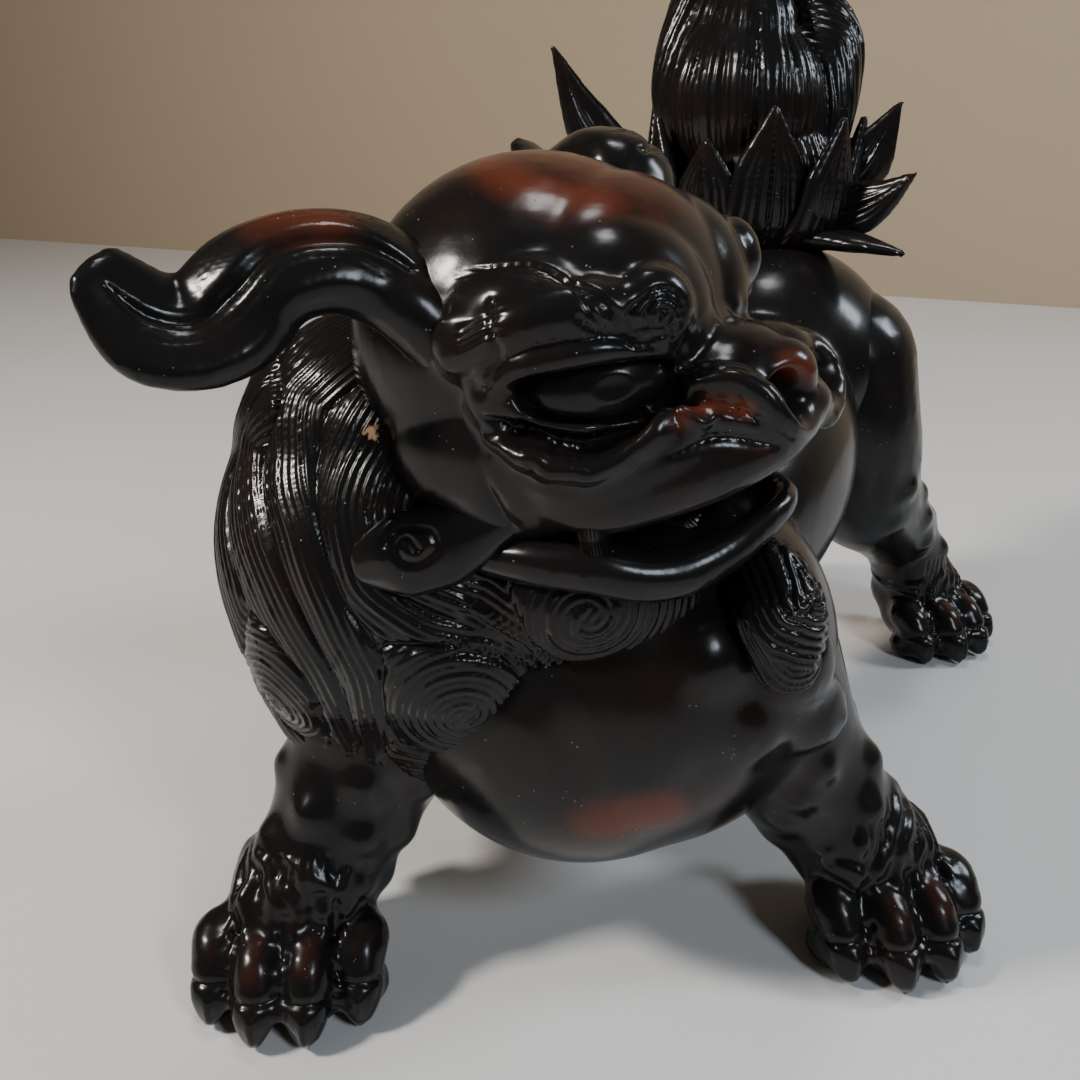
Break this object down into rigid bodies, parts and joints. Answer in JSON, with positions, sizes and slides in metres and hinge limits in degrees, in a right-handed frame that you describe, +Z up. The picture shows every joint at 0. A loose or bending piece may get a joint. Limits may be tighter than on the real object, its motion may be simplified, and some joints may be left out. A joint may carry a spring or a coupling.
{
  "type": "foo dog statue",
  "caption": "Glossy cast guardian-lion statue that stands on four paws, head turned back over its left side, with curling ears, combed mane and a flame-shaped tail.",
  "frame": {"origin": "middle of the bounding box's footprint, on the surface that the paws stand on", "axes": "+X towards the statue's left, the way its head faces; -Y forwards along the body; +Z up"},
  "size_m": [0.1172, 0.1914, 0.16],
  "materials": {
    "black_lacquer": "glossy black-brown lacquer, worn red-brown on the high spots",
    "eye_lacquer": "glossy dark lacquer",
    "raw_resin": "bare tan cast resin"
  },
  "bodies": {
    "root": {"beard_tuft": "black_lacquer", "brow_curl_left": "black_lacquer", "brow_curl_right": "black_lacquer", "chest_curl_left": "black_lacquer", "ear_left": "black_lacquer", "ear_peg_left": "raw_resin", "ear_peg_right": "raw_resin", "ear_right": "black_lacquer", "eye_left": "eye_lacquer", "eye_right": "eye_lacquer", "fang_left": "black_lacquer", "fang_right": "black_lacquer", "front_leg_left": "black_lacquer", "front_leg_right": "black_lacquer", "front_peg_left": "raw_resin", "front_peg_right": "raw_resin", "front_tuft_left": "black_lacquer", "front_tuft_right": "black_lacquer", "head_peg": "raw_resin", "hind_leg_left": "black_lacquer", "hind_leg_right": "black_lacquer", "hind_peg_left": "raw_resin", "hind_peg_right": "raw_resin", "hind_tuft_left": "black_lacquer", "hind_tuft_right": "black_lacquer", "jowl_curl_left": "black_lacquer", "jowl_curl_right": "black_lacquer", "lower_jaw": "black_lacquer", "mane_curl_back": "black_lacquer", "mane_curl_chest": "black_lacquer", "mane_curl_chin": "black_lacquer", "mane_curl_flank": "black_lacquer", "mane_curl_nape": "black_lacquer", "mane_curl_shoulder": "black_lacquer", "neck_mane": "black_lacquer", "neck_peg": "raw_resin", "skull": "black_lacquer", "tail_curl_1": "black_lacquer", "tail_curl_2": "black_lacquer", "tail_curl_3": "black_lacquer", "tail_leaf_1": "black_lacquer", "tail_leaf_2": "black_lacquer", "tail_leaf_3": "black_lacquer", "tail_leaf_4": "black_lacquer", "tail_leaf_5": "black_lacquer", "tail_leaf_6": "black_lacquer", "tail_leaf_7": "black_lacquer", "tail_leaf_8": "black_lacquer", "tail_peg": "raw_resin", "tail_plume": "black_lacquer", "tongue": "black_lacquer", "torso": "black_lacquer"}
  },
  "joints": []
}
